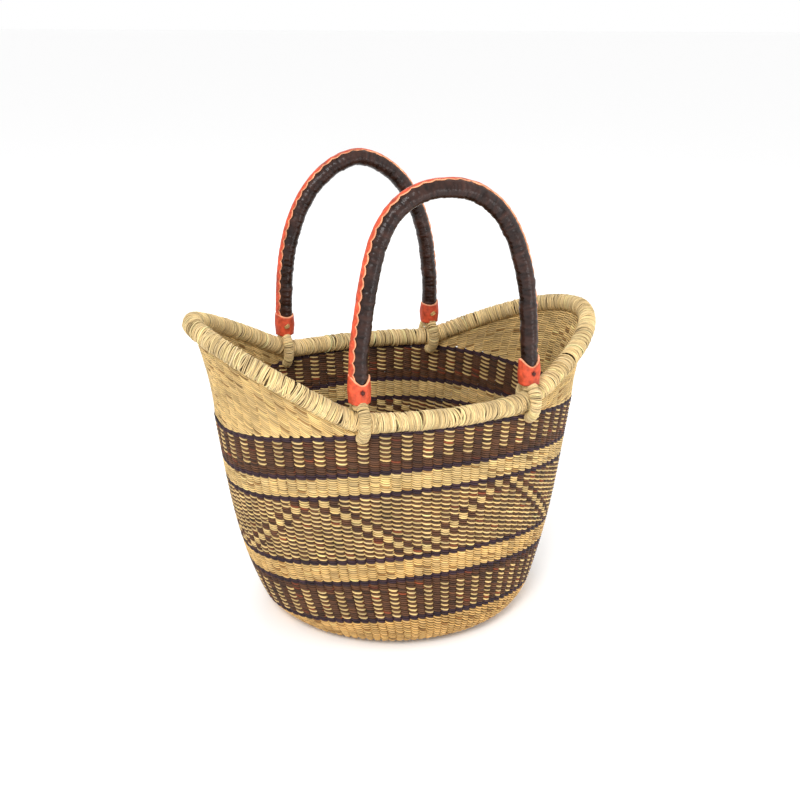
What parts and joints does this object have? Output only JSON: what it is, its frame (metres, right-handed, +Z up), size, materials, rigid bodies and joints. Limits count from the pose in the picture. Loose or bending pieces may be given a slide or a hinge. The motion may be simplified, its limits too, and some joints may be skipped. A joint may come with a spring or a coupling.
{
  "type": "woven market basket",
  "caption": "Oval tote basket of twined straw with dark and zigzag bands, a wrapped rim that rises at both ends, and leather-covered handles that swing on straw loops.",
  "frame": {"origin": "the middle of the underside, on the surface that the basket stands on", "axes": "+X along the basket's length, +Y from its front to its back, +Z up out of its mouth"},
  "size_m": [0.426, 0.2811, 0.4526],
  "materials": {
    "natural_straw": "undyed twisted elephant-grass straw, slightly glossy fibres",
    "brown_straw": "brown-dyed twisted straw, uneven dye",
    "purple_straw": "purple-black dyed twisted straw",
    "mixed_straw": "natural and brown straw twined together into a zigzag figure",
    "brown_leather": "dark brown wrinkled leather, semi-gloss",
    "red_leather": "orange-red leather with a pale cut edge",
    "raffia": "twisted thread stitch"
  },
  "bodies": {
    "basket": {"base_disc": "natural_straw", "base_edge_band": "natural_straw", "purple_rows_1": "purple_straw", "lower_dark_band": "brown_straw", "purple_rows_2": "purple_straw", "lower_natural_band": "natural_straw", "purple_rows_3": "purple_straw", "zigzag_band": "mixed_straw", "purple_rows_4": "purple_straw", "upper_natural_band": "natural_straw", "purple_rows_5": "purple_straw", "upper_dark_band": "brown_straw", "left_wing": "natural_straw", "right_wing": "natural_straw", "rim_core": "natural_straw", "rim_wrap": "natural_straw"},
    "front_handle": {"front_handle_core": "natural_straw", "front_handle_sleeve": "brown_leather", "front_handle_lace": "red_leather", "front_left_loop": "natural_straw", "front_left_collar": "red_leather", "front_left_stitch": "raffia", "front_right_loop": "natural_straw", "front_right_collar": "red_leather", "front_right_stitch": "raffia"},
    "back_handle": {"back_handle_core": "natural_straw", "back_handle_sleeve": "brown_leather", "back_handle_lace": "red_leather", "back_left_loop": "natural_straw", "back_left_collar": "red_leather", "back_left_stitch": "raffia", "back_right_loop": "natural_straw", "back_right_collar": "red_leather", "back_right_stitch": "raffia"}
  },
  "joints": [
    {"name": "front_handle_swing", "type": "hinge", "parent": "basket", "child": "front_handle", "pos_m": [0.005, -0.11756, 0.24045], "axis": [-1, 0, 0], "range_deg": [-75, 28]},
    {"name": "back_handle_swing", "type": "hinge", "parent": "basket", "child": "back_handle", "pos_m": [-0.003, 0.11759, 0.24047], "axis": [1, 0, 0], "range_deg": [-75, 32]}
  ]
}
